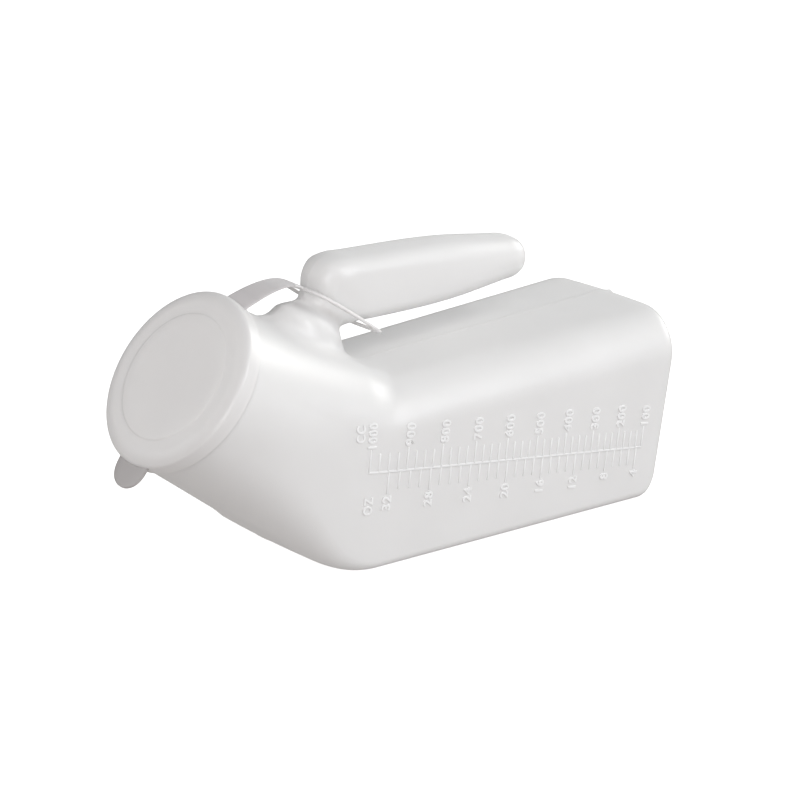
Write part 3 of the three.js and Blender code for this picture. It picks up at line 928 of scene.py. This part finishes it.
def plastic(name, colour, shade, roughness, subsurface, grain):
    """Milky polyethylene: faint clouding in its colour, uneven satin gloss and a finely uneven surface."""
    material = bpy.data.materials.new(name)
    material.use_nodes = True
    nodes, links = material.node_tree.nodes, material.node_tree.links
    shader = nodes["Principled BSDF"]
    shader.inputs["Subsurface Weight"].default_value = subsurface
    shader.inputs["Subsurface Scale"].default_value = 0.006
    shader.inputs["Subsurface Radius"].default_value = (1.0, 0.95, 0.9)
    shader.inputs["IOR"].default_value = 1.5
    place = nodes.new("ShaderNodeTexCoord").outputs["Object"]

    def noise(scale, detail):
        node = nodes.new("ShaderNodeTexNoise")
        node.inputs["Scale"].default_value = scale
        node.inputs["Detail"].default_value = detail
        links.new(place, node.inputs["Vector"])
        return node.outputs["Fac"]

    clouds = nodes.new("ShaderNodeValToRGB")
    clouds.color_ramp.elements[0].position = 0.3
    clouds.color_ramp.elements[0].color = (*shade, 1)
    clouds.color_ramp.elements[1].position = 0.7
    clouds.color_ramp.elements[1].color = (*colour, 1)
    links.new(noise(22, 3), clouds.inputs["Fac"])
    links.new(clouds.outputs["Color"], shader.inputs["Base Color"])

    gloss = nodes.new("ShaderNodeMapRange")
    gloss.inputs["To Min"].default_value = roughness - 0.04
    gloss.inputs["To Max"].default_value = roughness + 0.06
    links.new(noise(60, 4), gloss.inputs["Value"])
    links.new(gloss.outputs["Result"], shader.inputs["Roughness"])

    waves = nodes.new("ShaderNodeBump")
    waves.inputs["Strength"].default_value = 0.25
    waves.inputs["Distance"].default_value = 0.0006
    links.new(noise(38, 1), waves.inputs["Height"])
    fine = nodes.new("ShaderNodeBump")
    fine.inputs["Strength"].default_value = grain
    fine.inputs["Distance"].default_value = 0.00006
    links.new(noise(1500, 2), fine.inputs["Height"])
    links.new(waves.outputs["Normal"], fine.inputs["Normal"])
    links.new(fine.outputs["Normal"], shader.inputs["Normal"])
    return material


def wear(material, *pieces):
    """Gives the pieces this material alone."""
    for piece in pieces:
        piece.data.materials.clear()
        piece.data.materials.append(material)


# ---------------------------------------------------------------- studio


def floor():
    """A pale floor with a little glow of its own, which neither lights nor shades the object."""
    size = FLOOR_HALF_SIZE
    mesh = bpy.data.meshes.new("floor")
    corners = [(-size, -size, 0), (size, -size, 0), (size, size, 0), (-size, size, 0)]
    mesh.from_pydata(corners, [], [(0, 1, 2, 3)])
    obj = bpy.data.objects.new("floor", mesh)
    bpy.context.scene.collection.objects.link(obj)
    material = bpy.data.materials.new("floor_white")
    material.use_nodes = True
    shader = material.node_tree.nodes["Principled BSDF"]
    shader.inputs["Base Color"].default_value = (0.85, 0.85, 0.85, 1)
    shader.inputs["Roughness"].default_value = 0.9
    shader.inputs["Emission Color"].default_value = (1, 1, 1, 1)
    shader.inputs["Emission Strength"].default_value = FLOOR_GLOW
    material.cycles.emission_sampling = "NONE"
    mesh.materials.append(material)
    obj.visible_diffuse = False
    obj.visible_glossy = False
    obj.visible_shadow = False


def softbox(name, towards, distance, size, power, colour):
    """A square area light that looks at the object from the given side."""
    light = bpy.data.lights.new(name, "AREA")
    light.energy = power
    light.size = size
    light.color = colour
    obj = bpy.data.objects.new(name, light)
    aim = Vector(CAMERA_TARGET)
    side = Vector(towards).normalized()
    obj.location = aim + side * distance
    obj.rotation_euler = side.to_track_quat("Z", "Y").to_euler()
    bpy.context.scene.collection.objects.link(obj)


def surroundings(above, below):
    """Even light from all round, with one colour from above the horizon and another from below it."""
    world = bpy.data.worlds.new("studio")
    world.use_nodes = True
    nodes, links = world.node_tree.nodes, world.node_tree.links
    height = nodes.new("ShaderNodeSeparateXYZ")
    links.new(nodes.new("ShaderNodeTexCoord").outputs["Generated"], height.inputs["Vector"])
    ramp = nodes.new("ShaderNodeValToRGB")
    ramp.color_ramp.elements[0].position = 0.0
    ramp.color_ramp.elements[0].color = (*below, 1)
    ramp.color_ramp.elements[1].position = 0.02
    ramp.color_ramp.elements[1].color = (*above, 1)
    links.new(height.outputs["Z"], ramp.inputs["Fac"])
    links.new(ramp.outputs["Color"], nodes["Background"].inputs["Color"])
    bpy.context.scene.world = world


def camera():
    """Looks at the target from its azimuth and elevation, and is rolled a little."""
    data = bpy.data.cameras.new("camera")
    data.sensor_width = CAMERA_SENSOR
    data.lens = CAMERA_LENS
    data.clip_start = 0.01
    obj = bpy.data.objects.new("camera", data)
    back = Vector((
        math.sin(CAMERA_AZIMUTH) * math.cos(CAMERA_ELEVATION),
        -math.cos(CAMERA_AZIMUTH) * math.cos(CAMERA_ELEVATION),
        math.sin(CAMERA_ELEVATION),
    ))
    right = (-back).cross(Vector((0, 0, 1))).normalized()
    up = back.cross(right)
    across = right * math.cos(CAMERA_ROLL) + up * math.sin(CAMERA_ROLL)
    upright = up * math.cos(CAMERA_ROLL) - right * math.sin(CAMERA_ROLL)
    turn = Matrix((across, upright, back)).transposed()
    obj.matrix_world = Matrix.Translation(Vector(CAMERA_TARGET) + back * CAMERA_DISTANCE) @ turn.to_4x4()
    bpy.context.scene.collection.objects.link(obj)
    bpy.context.scene.camera = obj


# ---------------------------------------------------------------- assembly

camera()
body = bottle_body()
body_tree = BVHTree.FromObject(body, bpy.context.evaluated_depsgraph_get())
marks = scale_marks(body_tree)
numbers = scale_numbers(body_tree)
cap = lid_cap()
tab = lid_tab()
straps = strap()

wear(plastic("bottle_milk", (0.79, 0.785, 0.78), (0.76, 0.755, 0.75), 0.34, 0.25, 0.35), body)
# The marks and numbers are the wall's plastic painted lighter: painted highlight where the raised ribs catch
# the light.
wear(plastic("scale_painted_highlight", (0.93, 0.93, 0.93), (0.9, 0.9, 0.9), 0.36, 0.25, 0.2), marks, numbers)
wear(plastic("lid_milk", (0.78, 0.77, 0.765), (0.755, 0.745, 0.74), 0.33, 0.25, 0.2), cap)
# The tab is the lid's plastic painted dark: painted shade, as its visible face lies in shadow.
wear(plastic("tab_painted_shade", (0.41, 0.395, 0.395), (0.38, 0.365, 0.365), 0.33, 0.15, 0.2), tab)
# The strap is the loop's plastic painted darker: painted shade, as the strap's broad face lies in shadow.
wear(plastic("strap_painted_shade", (0.57, 0.55, 0.555), (0.53, 0.515, 0.52), 0.33, 0.15, 0.2), *straps[:3])
wear(plastic("loop_milk", (0.76, 0.75, 0.75), (0.73, 0.72, 0.72), 0.33, 0.2, 0.2), straps[3])

floor()
surroundings(ABOVE, BELOW)
for light in LIGHTS:
    softbox(*light)
bpy.context.scene.view_settings.view_transform = "Standard"
